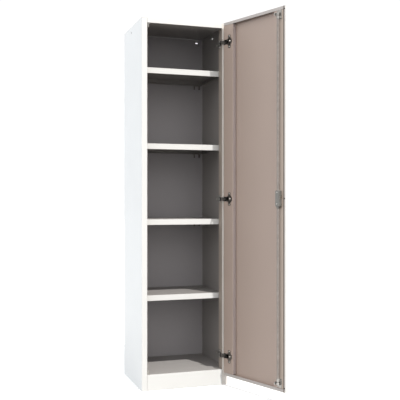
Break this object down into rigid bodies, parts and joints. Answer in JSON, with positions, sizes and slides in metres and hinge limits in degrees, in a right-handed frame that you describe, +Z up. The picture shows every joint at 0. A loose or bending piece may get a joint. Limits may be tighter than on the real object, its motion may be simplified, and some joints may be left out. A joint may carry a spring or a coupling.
{
  "type": "locker cabinet",
  "caption": "Tall narrow steel locker cabinet with an overlay door on concealed hinges, folded shelves on clips and a turning-rod lock with a quarter-turn handle.",
  "frame": {"origin": "on the floor, at the centre of the cabinet's footprint", "axes": "+X to the right seen from the front, +Y to the back, +Z up; the front faces -Y"},
  "size_m": [0.6063, 0.8314, 1.85],
  "materials": {
    "white_paint": "powder-coated white, fine texture",
    "grey_paint": "powder-coated warm grey, fine texture",
    "zinc": "bright zinc plate",
    "nickel": "dark nickel plate",
    "cast_grey": "grey lacquered die casting",
    "rubber": "matt black",
    "black_plastic": "fine-textured black"
  },
  "bodies": {
    "cabinet": {"left_side_panel": "white_paint", "right_side_panel": "white_paint", "top_panel": "white_paint", "back_panel": "grey_paint", "bottom_panel": "white_paint", "plinth": "white_paint", "base_brace": "zinc", "shelf_1": "white_paint", "shelf_2": "white_paint", "shelf_3": "white_paint", "shelf_4": "white_paint", "rear_clip_left_1": "nickel", "rear_clip_left_2": "nickel", "rear_clip_left_3": "nickel", "rear_clip_left_4": "nickel", "rear_clip_right_1": "nickel", "rear_clip_right_2": "nickel", "rear_clip_right_3": "nickel", "rear_clip_right_4": "nickel", "front_clip_left_1": "zinc", "front_clip_left_2": "zinc", "front_clip_left_3": "zinc", "front_clip_left_4": "zinc", "front_clip_right_1": "zinc", "front_clip_right_2": "zinc", "front_clip_right_3": "zinc", "front_clip_right_4": "zinc", "top_strike": "zinc", "bottom_strike": "zinc", "hinge_plate_top": "nickel", "hinge_plate_middle": "nickel", "hinge_plate_bottom": "nickel", "hinge_arm_top": "nickel", "hinge_arm_middle": "nickel", "hinge_arm_bottom": "nickel"},
    "door": {"door_skin": "grey_paint", "hinge_side_channel": "grey_paint", "lock_side_channel": "grey_paint", "lock_case": "cast_grey", "rod_guide_top": "zinc", "rod_guide_bottom": "zinc", "escutcheon": "black_plastic", "hinge_cup_top": "nickel", "hinge_cup_middle": "nickel", "hinge_cup_bottom": "nickel", "hinge_pin_top": "zinc", "hinge_pin_middle": "zinc", "hinge_pin_bottom": "zinc", "door_buffer_top": "rubber", "door_buffer_middle": "rubber", "door_buffer_bottom": "rubber"},
    "locking_rod": {"locking_rod": "zinc", "top_hook": "zinc", "bottom_hook": "zinc", "rod_bevel_wheel": "zinc"},
    "handle": {"handle": "black_plastic", "handle_spindle": "zinc", "spindle_bevel_wheel": "zinc"},
    "key_plug": {"key_plug": "nickel"},
    "dead_bolt": {"dead_bolt": "zinc"}
  },
  "joints": [
    {"name": "door_hinge", "type": "hinge", "parent": "cabinet", "child": "door", "pos_m": [0.2155, -0.218, 0.95], "axis": [0, 0, 1], "range_deg": [-110, 0]},
    {"name": "rod_turn", "type": "hinge", "parent": "door", "child": "locking_rod", "pos_m": [0.3279, -0.59904, 0.95], "axis": [0, 0, 1], "range_deg": [0, 90]},
    {"name": "handle_turn", "type": "hinge", "parent": "door", "child": "handle", "pos_m": [0.36521, -0.58546, 0.93], "axis": [-0.9397, -0.342, 0], "range_deg": [0, 90]},
    {"name": "bolt_slide", "type": "slide", "parent": "door", "child": "dead_bolt", "axis": [0.342, -0.9397, 0], "range_m": [0, 0.01]},
    {"name": "key_turn", "type": "hinge", "parent": "handle", "child": "key_plug", "pos_m": [0.3746, -0.58204, 0.93], "axis": [-0.9397, -0.342, 0], "range_deg": [0, 90]}
  ],
  "couplings": [
    {"joint": "handle_turn", "follows": "rod_turn", "ratio": 1},
    {"joint": "bolt_slide", "follows": "rod_turn", "m_per_rad": 0.0063}
  ]
}
